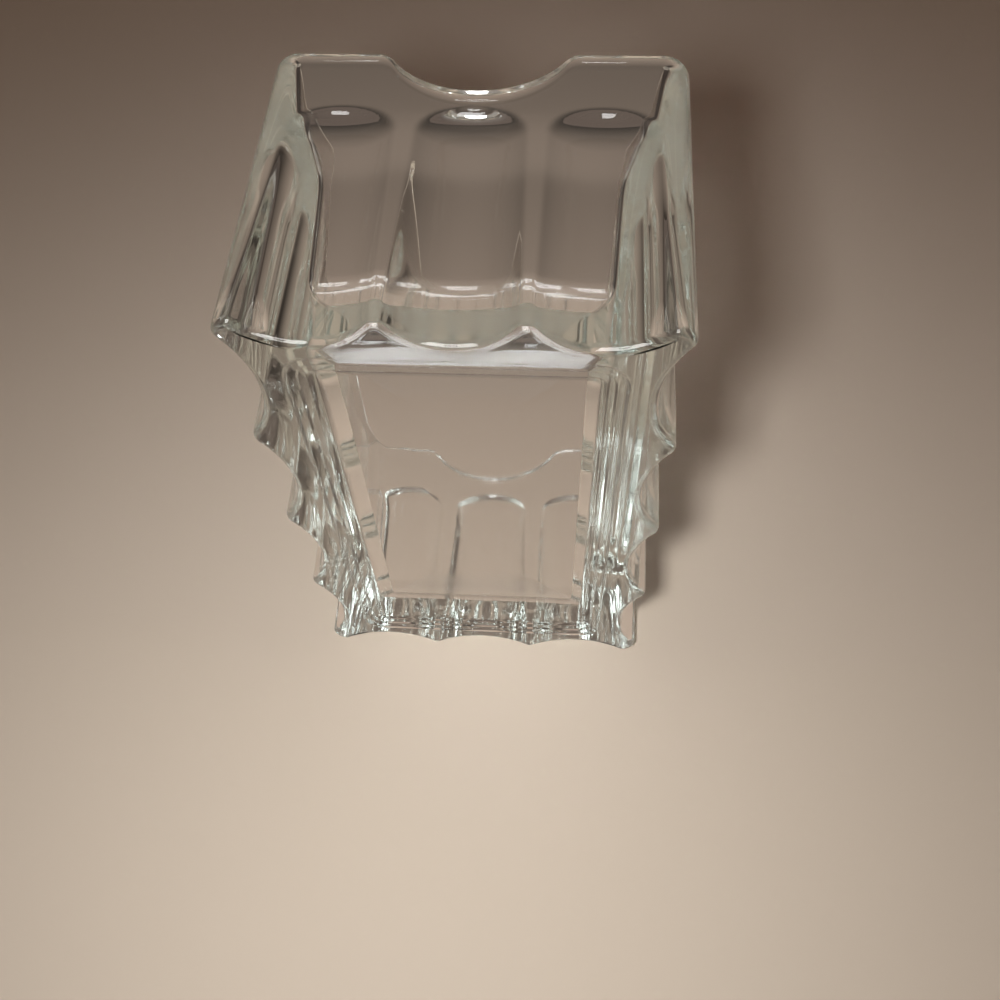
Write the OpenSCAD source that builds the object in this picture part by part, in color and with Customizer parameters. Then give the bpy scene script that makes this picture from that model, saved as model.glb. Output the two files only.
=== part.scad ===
// Sugar packet holder: one pressing of clear glass, open at the top.
// Origin: centre of the base, on the table. X across, Y along, Z up.
// The two short walls, at -Y and +Y, carry the scooped rims.

/* [Overall size] */
// Width across the holder at the rim, mm
body_w = 57; // [52:0.5:75]
// Length along the holder at the rim, mm
body_d = 86; // [76:1:120]
// Height from the table to the rim, mm
body_h = 49; // [42:0.5:64]
// Outward slope of the walls, by which the body leaves its mould, degrees
outer_draft = 1.6; // [1:0.1:2.5]
// Radius of the upright outer corners at the rim, mm
outer_corner_r = 3.8; // [3.4:0.1:6]

/* [Cavity] */
// Glass thickness of the walls at the rim, mm
rim_wall = 2.8; // [2.6:0.1:4.5]
// Glass thickness between the table and the cavity floor, mm
floor_t = 10; // [7:0.25:12]
// Slope of the cavity walls beside the plain band under the rim, degrees
rim_draft = 9.4; // [7:0.1:11]
// Slope of the cavity walls between the floor and the flare, degrees
cavity_draft = 4.5; // [2:0.1:6]
// Step by which the flare widens the cavity on every side, mm
flare_step = 3.2; // [2:0.1:4]
// Height of the flare, which ends beside the upper ends of the flutes, mm
flare_h = 7; // [5:0.5:10]
// Radius of the cavity's upright corners, mm
cavity_corner_r = 1.4; // [1:0.1:2.5]
// Radius between the cavity's walls and its floor, mm
floor_edge_r = 3.3; // [2:0.1:5]

/* [Flutes] */
// Flutes on each short wall
short_flutes = 3; // [2:1:4]
// Flutes on each long wall
long_flutes = 4; // [3:1:6]
// Depth of a flute at the base, mm
flute_depth = 3.2; // [2:0.1:3.4]
// Lean of a flute from its wall, which makes it shallower towards the rim, degrees
flute_lean = 1; // [0.5:0.1:1.5]
// Flat left on the ridge between two flutes at the base, mm
ridge_land = 1.2; // [0.8:0.1:2.5]
// Plain strip between the last flute of a wall and the body's corner, mm
corner_land = 2.6; // [1.8:0.1:4]
// Radius of the ramp that closes a flute at its upper end, mm
flute_end_r = 6; // [4:0.5:9]
// Plain band between the rim and the flutes, mm
rim_band = 12; // [10:0.5:15]

/* [Scooped rim] */
// Depth of the scoop in the rim of a short wall, mm
scoop_depth = 7.5; // [4:0.25:9]
// Radius of the scoop's bottom, mm
scoop_r = 13.8; // [11:0.1:16]
// Radius of the scoop's two shoulders, mm
shoulder_r = 2.6; // [1.5:0.1:4]

/* [Edges and underside] */
// Bevel around the base, along ridges and flutes, mm
base_bevel = 1.4; // [0.8:0.1:1.8]
// Bevel on the two edges of the rim, mm
rim_bevel = 1; // [0.5:0.1:1.2]
// Depth of the panel let into the underside, mm
panel_depth = 0.8; // [0.4:0.1:1.5]
// Width of the foot band around that panel, from the ridges, mm
foot_band = 7.4; // [6.5:0.1:10]

/* [Hidden] */
$fn = 96;
glass_tint = [0.72, 0.80, 0.74, 0.45];
// length by which a cutter runs past the face it cuts
run_out = 2;
// amount by which an arc overlaps the face or arc that it runs into
arc_overlap = 0.02;
// growth of the outer corner radius from base to rim, and the body's size at the base
outer_growth = body_h * tan(outer_draft);
base_w = body_w - 2 * outer_growth;
base_d = body_d - 2 * outer_growth;
base_corner_r = outer_corner_r - outer_growth;
// centres of the outer corners
outer_x = body_w / 2 - outer_corner_r;
outer_y = body_d / 2 - outer_corner_r;
// heights between which the cavity flares
flare_top_z = body_h - rim_band;
flare_foot_z = flare_top_z - flare_h;
// how far the cavity walls lie within the rim's outer edge: above the rim, at both ends of
// the flare, at the floor and below it
cavity_top_z = body_h + run_out;
cavity_foot_z = floor_t - run_out;
top_inset = rim_wall - run_out * tan(rim_draft);
flare_top_inset = rim_wall + rim_band * tan(rim_draft);
flare_foot_inset = flare_top_inset + flare_step;
floor_inset = flare_foot_inset + (flare_foot_z - floor_t) * tan(cavity_draft);
foot_inset = floor_inset + run_out * tan(cavity_draft);
// corner centres of the cavity at the lower edge of the rim's bevel
rim_bevel_x = body_w / 2 - rim_wall - rim_bevel * tan(rim_draft) - cavity_corner_r;
rim_bevel_y = body_d / 2 - rim_wall - rim_bevel * tan(rim_draft) - cavity_corner_r;
// depth of a flute where its upper end begins, and the height of that place
flute_top_depth = flute_depth - (body_h - rim_band) * tan(flute_lean);
flute_end_rise = sqrt(pow(flute_end_r, 2) - pow(flute_end_r - flute_top_depth, 2));
flute_end_z = body_h - rim_band - flute_end_rise;
// height of the scoop's centre and the half distance between its shoulders' centres
scoop_z = body_h - scoop_depth + scoop_r;
shoulder_z = body_h - shoulder_r + arc_overlap;
shoulder_x = sqrt(pow(scoop_r + shoulder_r, 2) - pow(scoop_z - shoulder_z, 2));
// corners of the underside panel at the table
panel_corner_r = 4;
panel_x = base_w / 2 - foot_band - panel_corner_r;
panel_y = base_d / 2 - foot_band - panel_corner_r;

// Closed ring section: a profile (radius, height) turned at four corners and
// drawn straight along the sides between them.
module four_cornered(corner_x, corner_y) {
    for (sx = [-1, 1], sy = [-1, 1]) {
        translate([sx * corner_x, sy * corner_y, 0]) rotate_extrude() children(0);
    }
    rotate([90, 0, 0]) linear_extrude(2 * corner_y, center = true) spread(corner_x) {
        children(0);
        children(1);
    }
    rotate([90, 0, 90]) linear_extrude(2 * corner_x, center = true) spread(corner_y) {
        children(0);
        children(1);
    }
}

// A corner profile placed at both sides with a rectangle between
module spread(half) {
    translate([half, 0]) children(0);
    mirror([1, 0]) translate([half, 0]) children(0);
    scale_across(half) children(1);
}

// Rectangle of the given half width; its heights come from the child, a [low, high] span
module scale_across(half) {
    intersection() {
        translate([-half, -body_h]) square([2 * half, 3 * body_h]);
        children(0);
    }
}

// Height span of a profile, wide enough for every side
module height_span(low, high) {
    translate([-body_d, low]) square([2 * body_d, high - low]);
}

// Outer shape of the body at a corner, with bevelled base and rim
module outer_profile() {
    slope = tan(outer_draft);
    polygon([
        [0, 0],
        [base_corner_r - base_bevel, 0],
        [base_corner_r + base_bevel * slope, base_bevel],
        [outer_corner_r - rim_bevel * slope, body_h - rim_bevel],
        [outer_corner_r - rim_bevel, body_h],
        [0, body_h]
    ]);
}

// Section through the cavity, whose walls lie within the given half size of the rim: steep
// walls, rounded into the floor, that flare out to the thinner glass under the rim.
// The arcs are a hair larger than tangent ones, so that they cross floor and wall cleanly.
module cavity_section(rim_half) {
    floor_half = rim_half - floor_inset;
    arc_x = floor_half + floor_edge_r * tan(cavity_draft) - floor_edge_r / cos(cavity_draft);
    arc_z = floor_t + floor_edge_r;
    difference() {
        for (side = [0, 1]) mirror([side, 0]) polygon([
            [-run_out, floor_t],
            [floor_half, floor_t],
            [rim_half - flare_foot_inset, flare_foot_z],
            [rim_half - flare_top_inset, flare_top_z],
            [rim_half - top_inset, cavity_top_z],
            [-run_out, cavity_top_z]
        ]);
        for (side = [0, 1]) mirror([side, 0]) difference() {
            translate([arc_x, floor_t - run_out]) square(floor_edge_r + run_out);
            translate([arc_x, arc_z]) circle(floor_edge_r + arc_overlap);
        }
    }
}

// Glass that rounds one upright corner of the cavity over a height in which its walls are
// straight; it is a prism that leans out with both of them
module corner_stage(low_z, low_inset, high_z, high_inset) {
    lean = (low_inset - high_inset) / (high_z - low_z);
    from_edge = low_inset + cavity_corner_r;
    translate([body_w / 2 - from_edge, body_d / 2 - from_edge, low_z])
        multmatrix([[1, 0, lean, 0], [0, 1, lean, 0], [0, 0, 1, 0], [0, 0, 0, 1]])
            linear_extrude(high_z - low_z) difference() {
                square(2 * cavity_corner_r);
                circle(cavity_corner_r + arc_overlap);
            }
}

// The cavity: where a trough along the body and a trough across it overlap, less its corners
module cavity() {
    difference() {
        intersection() {
            rotate([90, 0, 0]) linear_extrude(2 * body_d, center = true) cavity_section(body_w / 2);
            rotate([90, 0, 90]) linear_extrude(2 * body_d, center = true) cavity_section(body_d / 2);
        }
        for (sx = [0, 1], sy = [0, 1]) mirror([sx, 0, 0]) mirror([0, sy, 0]) {
            corner_stage(cavity_foot_z, foot_inset, flare_foot_z, flare_foot_inset);
            corner_stage(flare_foot_z, flare_foot_inset, flare_top_z, flare_top_inset);
            corner_stage(flare_top_z, flare_top_inset, cavity_top_z, top_inset);
        }
    }
}

// Bevel of the rim's inner edge at a corner; it starts inside the cavity, below the bevel's edge
module rim_bevel_profile() {
    start = cavity_corner_r / 2;
    polygon([
        [0, body_h - rim_bevel - start],
        [cavity_corner_r - start, body_h - rim_bevel - start],
        [cavity_corner_r + rim_bevel + run_out, body_h + run_out],
        [0, body_h + run_out]
    ]);
}

// Underside panel at a corner: a shallow tray with a sloping edge
module panel_profile() {
    polygon([
        [0, -run_out],
        [panel_corner_r + run_out, -run_out],
        [panel_corner_r - panel_depth, panel_depth],
        [0, panel_depth]
    ]);
}

// Cutter for one flute: an upright round bar with a rounded shoulder on top
// and a flare at the foot that leaves the base bevel
module flute_cutter(width) {
    bar_r = (width * width / 4 + flute_depth * flute_depth) / (2 * flute_depth);
    translate([0, -(bar_r - flute_depth), 0]) rotate([outer_draft + flute_lean, 0, 0]) rotate_extrude() {
        polygon([
            [0, -run_out],
            [bar_r + base_bevel + run_out, -run_out],
            [bar_r, base_bevel],
            [bar_r, flute_end_z],
            [bar_r - flute_end_r, flute_end_z],
            [bar_r - flute_end_r, flute_end_z + flute_end_r],
            [0, flute_end_z + flute_end_r]
        ]);
        intersection() {
            translate([bar_r - flute_end_r, flute_end_z]) circle(flute_end_r);
            translate([bar_r - flute_end_r, flute_end_z]) square(flute_end_r + run_out);
        }
    }
}

// Row of flutes between the corner lands of a wall, whose outer face is y = -half_depth
module flute_row(length, half_depth, count) {
    pitch = (length - 2 * corner_land + ridge_land) / count;
    for (i = [0 : count - 1]) {
        translate([(i - (count - 1) / 2) * pitch, -half_depth, 0]) flute_cutter(pitch - ridge_land);
    }
}

// Cutter for the scoops in both short rims: a round bottom that runs up into
// two rounded shoulders, whose circles the scoop's circle just overlaps
module scoop_cutter() {
    rotate([90, 0, 0]) linear_extrude(body_d + 2 * run_out, center = true) {
        translate([0, scoop_z]) circle(scoop_r + arc_overlap);
        difference() {
            polygon([
                [0, scoop_z],
                [-shoulder_x, shoulder_z],
                [-shoulder_x, scoop_z + run_out],
                [shoulder_x, scoop_z + run_out],
                [shoulder_x, shoulder_z]
            ]);
            translate([-shoulder_x, shoulder_z]) circle(shoulder_r);
            translate([shoulder_x, shoulder_z]) circle(shoulder_r);
        }
    }
}

// The pressed glass body, the holder's only piece
module glass_body() {
    color(glass_tint) difference() {
        four_cornered(outer_x, outer_y) {
            outer_profile();
            height_span(0, body_h);
        }
        cavity();
        four_cornered(rim_bevel_x, rim_bevel_y) {
            rim_bevel_profile();
            height_span(body_h - rim_bevel - cavity_corner_r / 2, body_h + run_out);
        }
        four_cornered(panel_x, panel_y) {
            panel_profile();
            height_span(-run_out, panel_depth);
        }
        for (turn = [0, 180]) {
            rotate([0, 0, turn]) flute_row(base_w, base_d / 2, short_flutes);
            rotate([0, 0, turn + 90]) flute_row(base_d, base_w / 2, long_flutes);
        }
        scoop_cutter();
    }
}

glass_body();
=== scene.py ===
import math

import bpy
from mathutils import Matrix, Vector


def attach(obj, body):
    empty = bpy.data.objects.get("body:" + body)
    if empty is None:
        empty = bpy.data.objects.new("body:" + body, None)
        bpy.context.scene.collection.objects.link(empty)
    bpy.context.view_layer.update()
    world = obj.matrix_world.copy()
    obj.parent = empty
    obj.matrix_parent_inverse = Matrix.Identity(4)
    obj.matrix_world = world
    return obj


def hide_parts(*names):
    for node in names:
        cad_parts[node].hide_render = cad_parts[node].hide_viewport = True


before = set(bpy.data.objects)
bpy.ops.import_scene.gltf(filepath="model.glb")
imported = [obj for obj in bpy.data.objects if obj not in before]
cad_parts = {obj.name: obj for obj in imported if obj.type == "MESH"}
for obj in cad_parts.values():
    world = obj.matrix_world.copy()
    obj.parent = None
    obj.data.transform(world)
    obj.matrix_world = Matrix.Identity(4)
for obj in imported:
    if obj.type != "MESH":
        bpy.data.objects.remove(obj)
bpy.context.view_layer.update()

# The glass body is one open box of clear, faintly green soda glass, pressed hot in a mould.
# A plain tapered blank is made first, with its cavity, rounded rim and foot. The tree after it
# presses in the flutes and the two finger scoops, as the mould and its ring do to the real one.
mm = 0.001

rim_width = 57 * mm
rim_length = 86 * mm
height = 49 * mm
outer_draft = math.tan(math.radians(1.6))
rim_corner = 3.8 * mm
base_corner = rim_corner - height * outer_draft
outer_core = Vector((rim_width / 2 - rim_corner, rim_length / 2 - rim_corner))

rim_wall = 2.8 * mm
floor_height = 10 * mm
rim_draft = math.tan(math.radians(9.4))
cavity_draft_angle = math.radians(4.5)
cavity_draft = math.tan(cavity_draft_angle)
flare_foot = 30 * mm
flare_top = 37 * mm
flare_step = 3.2 * mm
flare_draft = flare_step / (flare_top - flare_foot)
flare_softness = 1.6 * mm
cavity_corner = 1.4 * mm
cavity_least_corner = 0.6 * mm
cavity_fillet = 3.3 * mm

foot_rounding = 1.1 * mm
foot_side_band = 6.9 * mm
foot_end_band = 5.8 * mm
panel_depth = 0.8 * mm
panel_corner = 4 * mm
panel_core = Vector((
    rim_width / 2 - height * outer_draft - foot_side_band - panel_corner,
    rim_length / 2 - height * outer_draft - foot_end_band - panel_corner,
))

rim_rounding = 1.5 * mm
rim_fullness = 2.5

long_flutes = 4
short_flutes = 3
steps_per_flute = 34
corner_steps = 14
corner_land = 2.6 * mm
ridge_land = 1.2 * mm
flute_depth = 3.2 * mm
flute_lean = math.tan(math.radians(1))
flute_end_radius = 6 * mm
flute_end_start = 32.09 * mm

# Each column of the blank is a point on the outline's core and the way it faces from there.
# The columns stand closer together at the ridges between flutes, where the surface turns most.
ridge_crowding = 0.55
columns = []
for side in range(4):
    turn = Matrix.Rotation(math.radians(90) * side, 2)
    flutes = short_flutes if side % 2 else long_flutes
    side_steps = flutes * steps_per_flute
    for step in range(side_steps):
        along = 2 * step / side_steps
        crowd = ridge_crowding * math.sin(math.pi * flutes * along) / (math.pi * flutes)
        columns.append((turn @ Vector((1, along - crowd - 1)), turn @ Vector((1, 0))))
    for step in range(corner_steps):
        angle = math.radians(90) * step / corner_steps
        columns.append((turn @ Vector((1, 1)), turn @ Vector((math.cos(angle), math.sin(angle)))))


def ring(core, radius, z):
    return [
        Vector((at.x * core.x + facing.x * radius, at.y * core.y + facing.y * radius, z))
        for at, facing in columns
    ]


def wall_ring(z, inset=0):
    return ring(outer_core, base_corner + z * outer_draft - inset, z)


# The cavity wall rises steeply from the floor, flares beside the upper ends of the flutes and
# runs out to the thinner glass under the rim, softly bent at both ends of the flare.
def above_bend(z, bend):
    return (z - bend + math.hypot(z - bend, flare_softness)) / 2


def cavity_ring(z, set_in=0, lift=0):
    wall = rim_wall + (height - flare_top) * rim_draft + flare_step
    wall -= (z - flare_foot) * cavity_draft
    wall -= (flare_draft - cavity_draft) * above_bend(z, flare_foot)
    wall += (flare_draft - rim_draft) * above_bend(z, flare_top)
    corner = max(cavity_corner - set_in, cavity_least_corner)
    inset = wall + set_in + corner
    return ring(Vector((rim_width / 2 - inset, rim_length / 2 - inset)), corner, z + lift)


def between(first, second, share):
    return [a.lerp(b, share) for a, b in zip(first, second)]


# A row is one ring of the blank: its points, the outline that the flutes are measured on, how far
# the flutes move it, how far it is set in from the wall, the lean of the wall that it is on, how
# dull its skin is all round, how dull and brushed the skin is along the short walls, and how high
# the skin's fine relief stands.
rows = []


def add_row(
    points, outline=None, pressed=0.0, inset=0.0, lean=0.0, frost=0.0, brushed=0.0, relief=0.0
):
    rows.append((points, outline or points, pressed, inset, lean, frost, brushed, relief))


# The panel in the underside lies within a border of three small steps with crisp edges. Each edge
# is given by its place in from the foot and its depth, from the panel outwards.
panel_frost = 0.01
panel_face_inset = 3.6 * mm
panel_edge_shares = (0.1, 0.9)
panel_border = (
    (2.8 * mm, panel_depth), (2.6 * mm, 0.54 * mm), (1.5 * mm, 0.54 * mm),
    (1.3 * mm, 0.27 * mm), (0.2 * mm, 0.27 * mm), (0, 0),
)
add_row(ring(panel_core, panel_corner - panel_face_inset, panel_depth), frost=panel_frost)
for inner, outer in zip(panel_border, panel_border[1:]):
    for share in panel_edge_shares:
        set_in, rise = Vector(inner).lerp(Vector(outer), share)
        add_row(ring(panel_core, panel_corner - set_in, rise), frost=panel_frost)

foot_inner = ring(panel_core, panel_corner, 0)
foot_outer = wall_ring(0, foot_rounding)
foot_shares = (0, 0.06, 0.35, 0.65, 0.88, 0.97)
for share in foot_shares:
    add_row(between(foot_inner, foot_outer, share), foot_outer, share, foot_rounding)

foot_steps = 9
for step in range(foot_steps):
    angle = math.radians(90) * step / foot_steps
    inset = foot_rounding * (1 - math.sin(angle))
    points = wall_ring(foot_rounding * (1 - math.cos(angle)), inset)
    add_row(points, points, 1.0, inset, outer_draft)

band_start = flute_end_start + flute_end_radius
band_end = height - rim_rounding
wall_stretches = (
    (foot_rounding, flute_end_start, 16),
    (flute_end_start, band_start, 20),
    (band_start, band_end, 12),
)
for start, end, wall_steps in wall_stretches:
    for step in range(wall_steps):
        points = wall_ring(start + (end - start) * step / wall_steps)
        add_row(points, points, 1.0, 0.0, outer_draft)

rim_steps = 22
rim_outer = wall_ring(band_end)
rim_inner = cavity_ring(band_end)
for step in range(rim_steps + 1):
    angle = math.pi * step / rim_steps
    spread = abs(math.cos(angle)) ** (2 / rim_fullness)
    share = (1 - math.copysign(spread, math.cos(angle))) / 2
    rise = rim_rounding * math.sin(angle) ** (2 / rim_fullness)
    points = [p + Vector((0, 0, rise)) for p in between(rim_outer, rim_inner, share)]
    add_row(points, lean=outer_draft + (rim_draft - outer_draft) * share)

fillet_inset = cavity_fillet * (1 / math.cos(cavity_draft_angle) - cavity_draft)
fillet_top = floor_height + cavity_fillet * (1 - math.sin(cavity_draft_angle))
cavity_steps = 48
fillet_brushed = 0.08
brushed_fade = 3 * mm
for step in range(1, cavity_steps):
    z = band_end + (fillet_top - band_end) * step / cavity_steps
    near_floor = max(0.0, 1 - (z - fillet_top) / brushed_fade)
    add_row(cavity_ring(z), lean=rim_draft, brushed=fillet_brushed * near_floor)

# The edge of the plunger flattens the lower part of the fillet to a bevel, a fine relief in the
# skin, and dulls the end strips of the floor beside it.
bevel_slope = math.radians(29.3)
bevel_brushed = 0.1
bevel_on_floor = 0.3 * mm
floor_brushed = {0.8 * mm: 0.22, 6.0 * mm: 0.2, 9.0 * mm: 0.04}
fillet_steps = 24
fillet_turn = (math.radians(90) - cavity_draft_angle) / fillet_steps
relief = 0.0
for step in range(fillet_steps + 1):
    angle = cavity_draft_angle + fillet_turn * step
    rise = cavity_fillet * (1 - math.sin(angle))
    set_in = fillet_inset - cavity_fillet * math.cos(angle)
    added_slope = max(0.0, bevel_slope + angle - math.radians(90))
    relief -= cavity_fillet * fillet_turn * math.tan(added_slope)
    brushed = bevel_brushed if added_slope else fillet_brushed
    add_row(cavity_ring(floor_height, set_in, rise), brushed=brushed, relief=relief)
relief -= bevel_on_floor * math.tan(bevel_slope)
bevel_end = cavity_ring(floor_height, fillet_inset + bevel_on_floor)
add_row(bevel_end, brushed=bevel_brushed, relief=relief)
for set_in, brushed in floor_brushed.items():
    add_row(cavity_ring(floor_height, fillet_inset + set_in), brushed=brushed, relief=relief)

blank_points = [point for row in rows for point in row[0]]
quads = []
count = len(columns)
for row in range(len(rows) - 1):
    for column in range(count):
        following = (column + 1) % count
        lower = row * count
        upper = lower + count
        quads.append((lower + column, lower + following, upper + following, upper + column))
panel_face = tuple(reversed(range(count)))
floor_face = tuple(range((len(rows) - 1) * count, len(rows) * count))

blank = bpy.data.meshes.new("glass_blank")
blank.from_pydata(blank_points, [], quads + [panel_face, floor_face])
outline = blank.attributes.new("outline", "FLOAT_VECTOR", "POINT")
outline.data.foreach_set("vector", [v for row in rows for point in row[1] for v in point])
for index, name in enumerate(("pressed", "inset", "lean", "frost", "brushed", "relief")):
    values = blank.attributes.new(name, "FLOAT", "POINT")
    values.data.foreach_set("value", [
        row[2 + index] * (facing.y ** 2 if name == "brushed" else 1.0)
        for row in rows for at, facing in columns
    ])

# The tree that presses the pattern. Its inputs are the mould's own sizes.
mould = bpy.data.node_groups.new("pressing_mould", "GeometryNodeTree")
mould.interface.new_socket("Blank", in_out="INPUT", socket_type="NodeSocketGeometry")
mould.interface.new_socket("Pressed", in_out="OUTPUT", socket_type="NodeSocketGeometry")
long_pitch = (rim_length - 2 * height * outer_draft - 2 * corner_land + ridge_land) / long_flutes
short_pitch = (rim_width - 2 * height * outer_draft - 2 * corner_land + ridge_land) / short_flutes


def flute_bar(pitch):
    half = (pitch - ridge_land) / 2
    return (half * half + flute_depth * flute_depth) / (2 * flute_depth)


scoop_depth = 7.5 * mm
scoop_radius = 13.8 * mm
shoulder_radius = 2.6 * mm
scoop_centre = height - scoop_depth + scoop_radius
shoulder_centre = height - shoulder_radius
shoulder_across = math.sqrt(
    (scoop_radius + shoulder_radius) ** 2 - (scoop_centre - shoulder_centre) ** 2
)
mould_sizes = {
    "Height": height,
    "Base half width": rim_width / 2 - height * outer_draft,
    "Base half length": rim_length / 2 - height * outer_draft,
    "Outer draft": outer_draft,
    "Flute depth": flute_depth,
    "Flute lean": flute_lean,
    "Flute end start": flute_end_start,
    "Flute end radius": flute_end_radius,
    "Ridge softness": 0.45 * mm,
    "Long wall pitch": long_pitch,
    "Long wall bar": flute_bar(long_pitch),
    "Short wall pitch": short_pitch,
    "Short wall bar": flute_bar(short_pitch),
    "Scoop radius": scoop_radius,
    "Scoop centre": scoop_centre,
    "Shoulder radius": shoulder_radius,
    "Shoulder centre": shoulder_centre,
    "Shoulder across": shoulder_across,
    "Scoop hold start": band_start,
    "Scoop hold end": band_end,
    "Waviness": 0.008 * mm,
    "Wave scale": 70.0,
}
mould_sockets = {
    name: mould.interface.new_socket(name, in_out="INPUT", socket_type="NodeSocketFloat")
    for name in mould_sizes
}
mould.interface.new_socket("Glass", in_out="INPUT", socket_type="NodeSocketMaterial")
mould_in = mould.nodes.new("NodeGroupInput")


class Field:
    """A number worked out at each point of the blank, so that the mould reads as plain sums."""

    def __init__(self, socket):
        self.socket = socket

    def __add__(self, other):
        return work("ADD", self, other)

    def __sub__(self, other):
        return work("SUBTRACT", self, other)

    def __mul__(self, other):
        return work("MULTIPLY", self, other)

    def __truediv__(self, other):
        return work("DIVIDE", self, other)


def work(sum_kind, *terms):
    node = mould.nodes.new("ShaderNodeMath")
    node.operation = sum_kind
    for socket, term in zip(node.inputs, terms):
        if isinstance(term, Field):
            mould.links.new(term.socket, socket)
        else:
            socket.default_value = term
    return Field(node.outputs[0])


def size(name):
    return Field(mould_in.outputs[name])


def blank_value(name, kind):
    node = mould.nodes.new("GeometryNodeInputNamedAttribute")
    node.data_type = kind
    node.inputs["Name"].default_value = name
    return node.outputs["Attribute"]


def parts_of(vector_socket):
    node = mould.nodes.new("ShaderNodeSeparateXYZ")
    mould.links.new(vector_socket, node.inputs[0])
    return [Field(socket) for socket in node.outputs]


def joined(x, y, z):
    node = mould.nodes.new("ShaderNodeCombineXYZ")
    for socket, part in zip(node.inputs, (x, y, z)):
        mould.links.new(part.socket, socket)
    return node.outputs[0]


def root_of(value):
    return work("SQRT", work("MAXIMUM", value, 0.0))


def moved(geometry, offset):
    node = mould.nodes.new("GeometryNodeSetPosition")
    mould.links.new(geometry, node.inputs["Geometry"])
    mould.links.new(offset, node.inputs["Offset"])
    return node.outputs["Geometry"]


wall_x, wall_y, wall_z = parts_of(blank_value("outline", "FLOAT_VECTOR"))
row_pressed = Field(blank_value("pressed", "FLOAT"))
row_inset = Field(blank_value("inset", "FLOAT"))
row_lean = Field(blank_value("lean", "FLOAT"))

# A flute is a round bar that leans out of the glass as it rises, with a rounded upper end.
bar_depth = size("Flute depth") - wall_z * size("Flute lean")
end_rise = work("MAXIMUM", wall_z - size("Flute end start"), 0.0)
end_radius = size("Flute end radius")
end_lift = end_radius - root_of(end_radius * end_radius - end_rise * end_rise)


just_short = 0.99999


def flute_push(along, across, half_base, flutes, pitch, bar):
    row_length = pitch * flutes
    from_start = along + row_length * 0.5
    in_row = work("MINIMUM", work("MAXIMUM", from_start, 0.0), row_length * just_short)
    from_middle = work("MODULO", in_row, pitch) - pitch * 0.5 + (from_start - in_row)
    radius = bar + row_inset - end_lift
    cut = root_of(radius * radius - from_middle * from_middle) - bar + bar_depth
    depth_now = half_base + wall_z * size("Outer draft") - work("ABSOLUTE", across)
    pushed = work("SMOOTH_MAX", depth_now, cut, size("Ridge softness")) - depth_now
    return pushed * work("SIGN", across) * row_pressed * -1.0


push_x = flute_push(
    wall_y, wall_x, size("Base half width"), long_flutes,
    size("Long wall pitch"), size("Long wall bar"),
)
push_y = flute_push(
    wall_x, wall_y, size("Base half length"), short_flutes,
    size("Short wall pitch"), size("Short wall bar"),
)
fluted = moved(mould_in.outputs["Blank"], joined(push_x, push_y, wall_z * 0.0))

# A finger scoop is a round dip in the rim of each short wall, with rounded shoulders.
at_x, at_y, at_z = parts_of(mould.nodes.new("GeometryNodeInputPosition").outputs[0])
off_middle = work("ABSOLUTE", at_x)
dip = size("Scoop centre") - root_of(
    size("Scoop radius") * size("Scoop radius") - off_middle * off_middle
)
from_shoulder = size("Shoulder across") - off_middle
shoulder = size("Shoulder centre") + root_of(
    size("Shoulder radius") * size("Shoulder radius") - from_shoulder * from_shoulder
)
meeting = size("Shoulder across") * size("Scoop radius") / (
    size("Scoop radius") + size("Shoulder radius")
)
in_dip = work("LESS_THAN", off_middle, meeting)
in_shoulder = work("LESS_THAN", off_middle, size("Shoulder across")) - in_dip
drop = (size("Height") - dip) * in_dip + (size("Height") - shoulder) * in_shoulder
hold_length = size("Scoop hold end") - size("Scoop hold start")
held = (at_z - size("Scoop hold start")) / hold_length
lowered = drop * work("MINIMUM", work("MAXIMUM", held, 0.0), 1.0) * -1.0
inward = lowered * row_lean * work("SIGN", at_y)
scooped = moved(fluted, joined(at_x * 0.0, inward, lowered))

# Pressed glass cools with a slightly wavy skin, which is what makes its edges swim. The waves fade
# out towards the foot, which stays flat.
wave_fade = 2 * mm
waves = mould.nodes.new("ShaderNodeTexNoise")
waves.noise_dimensions = "3D"
waves.inputs["Detail"].default_value = 1.0
mould.links.new(mould_in.outputs["Wave scale"], waves.inputs["Scale"])
ripple = (Field(waves.outputs[0]) - 0.5) * size("Waviness")
above_foot = work("MINIMUM", work("MAXIMUM", at_z / wave_fade, 0.0), 1.0)
outward = mould.nodes.new("GeometryNodeInputNormal").outputs[0]
ripple_offset = mould.nodes.new("ShaderNodeVectorMath")
ripple_offset.operation = "SCALE"
mould.links.new(outward, ripple_offset.inputs[0])
mould.links.new((ripple * above_foot).socket, ripple_offset.inputs["Scale"])
cooled = moved(scooped, ripple_offset.outputs[0])

smooth = mould.nodes.new("GeometryNodeSetShadeSmooth")
mould.links.new(cooled, smooth.inputs["Geometry"])
realized = mould.nodes.new("GeometryNodeRealizeInstances")
mould.links.new(smooth.outputs[0], realized.inputs["Geometry"])
coated = mould.nodes.new("GeometryNodeSetMaterial")
mould.links.new(realized.outputs[0], coated.inputs["Geometry"])
mould.links.new(mould_in.outputs["Glass"], coated.inputs["Material"])
mould_out = mould.nodes.new("NodeGroupOutput")
mould.links.new(coated.outputs[0], mould_out.inputs["Pressed"])

# Clear soda glass: a pale green body colour that shows only where it is thick, and a fire-polished
# skin with faint handling haze, which the edge of the plunger has dulled and brushed at the floor.
glass = bpy.data.materials.new("clear_pressed_glass")
glass.use_nodes = True
nodes = glass.node_tree.nodes
links = glass.node_tree.links
skin = nodes["Principled BSDF"]
skin.inputs["Base Color"].default_value = (1.0, 1.0, 1.0, 1.0)
skin.inputs["Transmission Weight"].default_value = 1.0
skin.inputs["IOR"].default_value = 1.52
where = nodes.new("ShaderNodeTexCoord")

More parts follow.
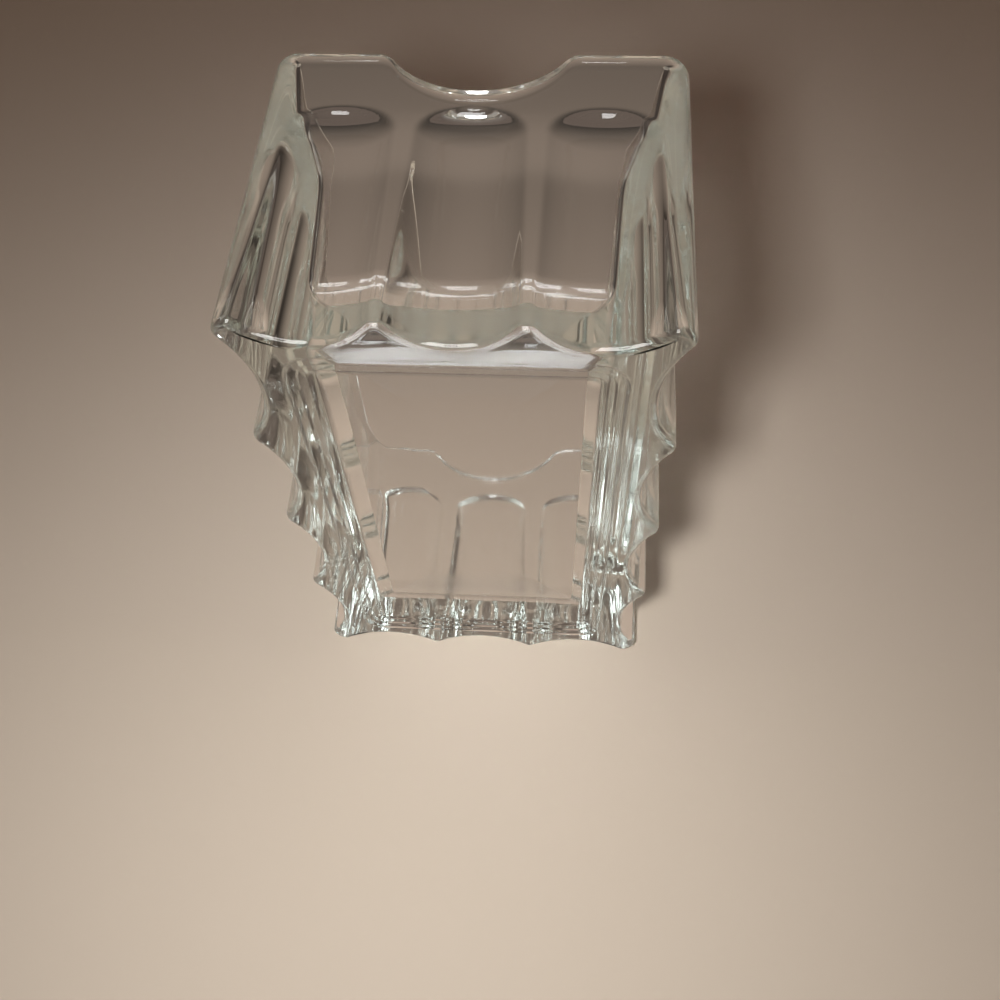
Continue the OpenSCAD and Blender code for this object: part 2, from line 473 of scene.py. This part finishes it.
haze = nodes.new("ShaderNodeTexNoise")
haze.inputs["Scale"].default_value = 45.0
haze.inputs["Detail"].default_value = 4.0
links.new(where.outputs["Object"], haze.inputs["Vector"])
haze_level = nodes.new("ShaderNodeMapRange")
haze_level.inputs["From Min"].default_value = 0.45
haze_level.inputs["From Max"].default_value = 0.8
haze_level.inputs["To Min"].default_value = 0.012
haze_level.inputs["To Max"].default_value = 0.06
links.new(haze.outputs[0], haze_level.inputs["Value"])
skin_values = {}
for name in ("frost", "brushed", "relief"):
    skin_value = nodes.new("ShaderNodeAttribute")
    skin_value.attribute_name = name
    skin_values[name] = skin_value.outputs["Fac"]
dulled = haze_level.outputs[0]
for name in ("frost", "brushed"):
    dull = nodes.new("ShaderNodeMath")
    dull.operation = "ADD"
    links.new(dulled, dull.inputs[0])
    links.new(skin_values[name], dull.inputs[1])
    dulled = dull.outputs[0]
links.new(dulled, skin.inputs["Roughness"])

grain = nodes.new("ShaderNodeTexNoise")
grain.inputs["Scale"].default_value = 260.0
grain.inputs["Detail"].default_value = 2.0
links.new(where.outputs["Object"], grain.inputs["Vector"])
chill = nodes.new("ShaderNodeBump")
chill.inputs["Strength"].default_value = 0.09
chill.inputs["Distance"].default_value = 0.02 * mm
links.new(grain.outputs[0], chill.inputs["Height"])
stroke_space = nodes.new("ShaderNodeVectorMath")
stroke_space.operation = "MULTIPLY"
stroke_space.inputs[1].default_value = (4500, 150, 150)
links.new(where.outputs["Object"], stroke_space.inputs[0])
strokes = nodes.new("ShaderNodeTexNoise")
strokes.inputs["Scale"].default_value = 1.0
strokes.inputs["Detail"].default_value = 1.0
links.new(stroke_space.outputs[0], strokes.inputs["Vector"])
brushing = nodes.new("ShaderNodeMath")
brushing.operation = "MULTIPLY"
links.new(strokes.outputs[0], brushing.inputs[0])
links.new(skin_values["brushed"], brushing.inputs[1])
brush = nodes.new("ShaderNodeBump")
brush.inputs["Distance"].default_value = 0.08 * mm
links.new(brushing.outputs[0], brush.inputs["Height"])
links.new(chill.outputs[0], brush.inputs["Normal"])
bevelled = nodes.new("ShaderNodeBump")
bevelled.inputs["Distance"].default_value = 1.0
links.new(skin_values["relief"], bevelled.inputs["Height"])
links.new(brush.outputs[0], bevelled.inputs["Normal"])
links.new(bevelled.outputs[0], skin.inputs["Normal"])

tint = nodes.new("ShaderNodeVolumeAbsorption")
tint.inputs["Color"].default_value = (0.45, 0.68, 0.60, 1.0)
tint.inputs["Density"].default_value = 5.0
links.new(tint.outputs[0], nodes["Material Output"].inputs["Volume"])

body = bpy.data.objects.new("glass_body_pressed", blank)
bpy.context.scene.collection.objects.link(body)
pressing = body.modifiers.new("pressing", "NODES")
pressing.node_group = mould
for name, value in mould_sizes.items():
    pressing[mould_sockets[name].identifier] = value
pressing[mould.interface.items_tree["Glass"].identifier] = glass
pressed_mesh = bpy.data.meshes.new_from_object(
    body.evaluated_get(bpy.context.evaluated_depsgraph_get())
)
body.modifiers.remove(pressing)
body.data = pressed_mesh
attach(body, "root")
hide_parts("glass_body")

# The stage is a plain pale sheet that the back wall lies against and a plain pale floor under the
# foot. Both are matt, and each shows only its front side. Where the sheet is seen through the
# glass it glows with painted light instead, which is set up below.
sheet_gap = 0.2 * mm
sheet_start = rim_length / 2 - height * outer_draft + sheet_gap
sheet_reach = 0.5
sheet_bottom = -0.25
sheet_top = 0.35
pale_colour = (0.62, 0.53, 0.43, 1.0)


def pale_sheet(name, corners, colour):
    mesh = bpy.data.meshes.new(name)
    mesh.from_pydata(corners, [], [(0, 1, 2, 3)])
    sheet = bpy.data.objects.new(name, mesh)
    bpy.context.scene.collection.objects.link(sheet)
    paint = bpy.data.materials.new(name + "_paint")
    paint.use_nodes = True
    tree = paint.node_tree
    matt = tree.nodes["Principled BSDF"]
    matt.inputs["Base Color"].default_value = colour
    matt.inputs["Roughness"].default_value = 0.9
    matt.inputs["Specular IOR Level"].default_value = 0.2
    behind = tree.nodes.new("ShaderNodeNewGeometry")
    clear = tree.nodes.new("ShaderNodeBsdfTransparent")
    one_sided = tree.nodes.new("ShaderNodeMixShader")
    tree.links.new(behind.outputs["Backfacing"], one_sided.inputs[0])
    tree.links.new(matt.outputs[0], one_sided.inputs[1])
    tree.links.new(clear.outputs[0], one_sided.inputs[2])
    tree.links.new(one_sided.outputs[0], tree.nodes["Material Output"].inputs["Surface"])
    mesh.materials.append(paint)
    return sheet


sheet_corners = [
    (-sheet_reach, sheet_bottom), (sheet_reach, sheet_bottom),
    (sheet_reach, sheet_top), (-sheet_reach, sheet_top),
]
backdrop = pale_sheet(
    "backdrop",
    [(x, sheet_start + z * outer_draft, z) for x, z in sheet_corners],
    pale_colour,
)

# Seen through the glass, the sheet glows with painted light. It is an emission that falls off from
# the key's place as the key light would, and it stands in for the light that the glass's own
# shadow keeps off it.
key_place = (-0.012, -0.1218, -0.0763)
key_power = 0.28
painted_glow_colour = (0.66, 0.51, 0.40, 1.0)
sheet_paint = backdrop.data.materials[0]
sheet_paint.cycles.emission_sampling = "NONE"
sheet_tree = sheet_paint.node_tree
sheet_place = sheet_tree.nodes.new("ShaderNodeNewGeometry")
from_key = sheet_tree.nodes.new("ShaderNodeVectorMath")
from_key.operation = "SUBTRACT"
from_key.inputs[1].default_value = key_place
sheet_tree.links.new(sheet_place.outputs["Position"], from_key.inputs[0])
distance = sheet_tree.nodes.new("ShaderNodeVectorMath")
distance.operation = "LENGTH"
sheet_tree.links.new(from_key.outputs[0], distance.inputs[0])
falloff = sheet_tree.nodes.new("ShaderNodeMath")
falloff.operation = "POWER"
falloff.inputs[1].default_value = -3.0
sheet_tree.links.new(distance.outputs["Value"], falloff.inputs[0])
level = sheet_tree.nodes.new("ShaderNodeMath")
level.operation = "MULTIPLY"
level.inputs[1].default_value = key_power / math.pi ** 2 * (sheet_start - key_place[1])
sheet_tree.links.new(falloff.outputs[0], level.inputs[0])
# Painted light: the sheet glows as if the key lit it through the glass.
painted_key_glow = sheet_tree.nodes.new("ShaderNodeEmission")
painted_key_glow.inputs["Color"].default_value = painted_glow_colour
sheet_tree.links.new(level.outputs[0], painted_key_glow.inputs["Strength"])
sheet_ray = sheet_tree.nodes.new("ShaderNodeLightPath")
through_glass = sheet_tree.nodes.new("ShaderNodeMixShader")
sheet_tree.links.new(sheet_ray.outputs["Is Transmission Ray"], through_glass.inputs[0])
sheet_tree.links.new(sheet_tree.nodes["Principled BSDF"].outputs[0], through_glass.inputs[1])
sheet_tree.links.new(painted_key_glow.outputs[0], through_glass.inputs[2])
sheet_tree.links.new(through_glass.outputs[0], sheet_tree.nodes["Mix Shader"].inputs[1])

floor_z = -0.3 * mm
floor_reach = 1.2
floor_corners = [(-1, -1), (1, -1), (1, 1), (-1, 1)]
floor = pale_sheet(
    "floor",
    [(x * floor_reach, y * floor_reach, floor_z) for x, y in floor_corners],
    pale_colour,
)
floor.visible_shadow = False
floor.visible_diffuse = False
floor.visible_glossy = False
floor.visible_transmission = False
backdrop.visible_shadow = False

# Soft studio light: a small key beside the camera, a wide top light and a room with a pale band
# around the horizon. The two lamps in the key's place are seen only in gleams and through glass.
world = bpy.data.worlds.new("pale_room")
world.use_nodes = True
bpy.context.scene.world = world
room_tree = world.node_tree
way = room_tree.nodes.new("ShaderNodeTexCoord")


def room_mix(share, first, second):
    node = room_tree.nodes.new("ShaderNodeMix")
    node.data_type = "RGBA"
    room_tree.links.new(share, node.inputs[0])
    room_tree.links.new(first, node.inputs[6])
    node.inputs[7].default_value = second
    return node.outputs[2]


def room_share(value, start, end):
    node = room_tree.nodes.new("ShaderNodeMapRange")
    node.inputs["From Min"].default_value = start
    node.inputs["From Max"].default_value = end
    room_tree.links.new(value, node.inputs["Value"])
    return node.outputs[0]


heading = room_tree.nodes.new("ShaderNodeSeparateXYZ")
room_tree.links.new(way.outputs["Generated"], heading.inputs[0])
walls = room_tree.nodes.new("ShaderNodeValToRGB")
room_tree.links.new(room_share(heading.outputs["Z"], -1, 1), walls.inputs[0])
dark_wall = (0.04, 0.03, 0.025, 1.0)
pale_band = (0.42, 0.36, 0.3, 1.0)
ceiling = (0.12, 0.09, 0.073, 1.0)
camera_side = (0.3, 0.27, 0.24, 1.0)
room_fill = (0.09, 0.056, 0.04, 1.0)
room_seen = (0.5, 0.43, 0.36, 1.0)
to_camera = (0.07, -0.83, -0.55)
wall_colours = {
    0.40: dark_wall,
    0.475: pale_band,
    0.525: pale_band,
    0.60: dark_wall,
    0.75: dark_wall,
    0.9: ceiling,
}
for spare in walls.color_ramp.elements[1:]:
    walls.color_ramp.elements.remove(spare)
walls.color_ramp.elements[0].color = dark_wall
for rise_share, colour in wall_colours.items():
    walls.color_ramp.elements.new(rise_share).color = colour
toward = room_tree.nodes.new("ShaderNodeVectorMath")
toward.operation = "DOT_PRODUCT"
toward.inputs[1].default_value = to_camera
room_tree.links.new(way.outputs["Generated"], toward.inputs[0])
room_ray = room_tree.nodes.new("ShaderNodeLightPath")
camera_side_share = room_share(toward.outputs["Value"], 0.2, 0.75)
room = room_mix(camera_side_share, walls.outputs[0], camera_side)
room = room_mix(room_ray.outputs["Is Diffuse Ray"], room, room_fill)
room = room_mix(room_ray.outputs["Is Camera Ray"], room, room_seen)
room_tree.links.new(room, room_tree.nodes["Background"].inputs["Color"])


def soft_light(name, position, side, power, target=(0, 0, 0.02)):
    lamp = bpy.data.lights.new(name, "AREA")
    lamp.size = side
    lamp.energy = power
    holder = bpy.data.objects.new(name, lamp)
    holder.location = position
    holder.rotation_mode = "QUATERNION"
    holder.rotation_quaternion = (Vector(target) - Vector(position)).to_track_quat("-Z", "Y")
    bpy.context.scene.collection.objects.link(holder)
    return holder


key_side = 0.02
key = soft_light("key_light", key_place, key_side, key_power)
key.visible_glossy = False
key.visible_transmission = False
top_place = (0.35, 0.8, 1.2)
top_side = 0.5
top_power = 22
top = soft_light("top_light", top_place, top_side, top_power)
top.visible_glossy = False
top.visible_transmission = False
gleams = {"glint_light": (0.02, 0.5), "halo_light": (0.08, 0.2)}
for name, (side, power) in gleams.items():
    glint = soft_light(name, key_place, side, power)
    glint.visible_diffuse = False
    glint.visible_camera = False

# The camera looks at the foot and the front short wall from below, as at the holder laid on its
# back wall. Its turns and place were fitted to the ridge tips, the edges and the rim.
pitch = math.radians(57.1447)
yaw = math.radians(-6.0089)
roll = math.radians(3.1637)
camera_place = Vector((11.985, -117.745, -70.912)) * mm
focal_length_px = 950
frame_width_px = 1000
ahead = Vector((0, math.sin(pitch), math.cos(pitch)))
right = Vector((1, 0, 0))
down = ahead.cross(right)
aim = Matrix((right, -down, -ahead)).transposed()
aim = Matrix.Rotation(yaw, 3, "Y") @ aim @ Matrix.Rotation(-roll, 3, "Z")
lens = bpy.data.cameras.new("photo_camera")
lens.sensor_width = 36
lens.lens = lens.sensor_width * focal_length_px / frame_width_px
lens.clip_start = 0.005
camera = bpy.data.objects.new("photo_camera", lens)
camera.matrix_world = Matrix.Translation(camera_place) @ aim.to_4x4()
bpy.context.scene.collection.objects.link(camera)
bpy.context.scene.camera = camera

# Light has to cross many glass surfaces before it leaves the walls.
bpy.context.scene.cycles.max_bounces = 32
bpy.context.scene.cycles.transmission_bounces = 32
bpy.context.scene.cycles.glossy_bounces = 16
bpy.context.scene.cycles.sample_clamp_indirect = 0
bpy.context.scene.view_settings.view_transform = "Standard"
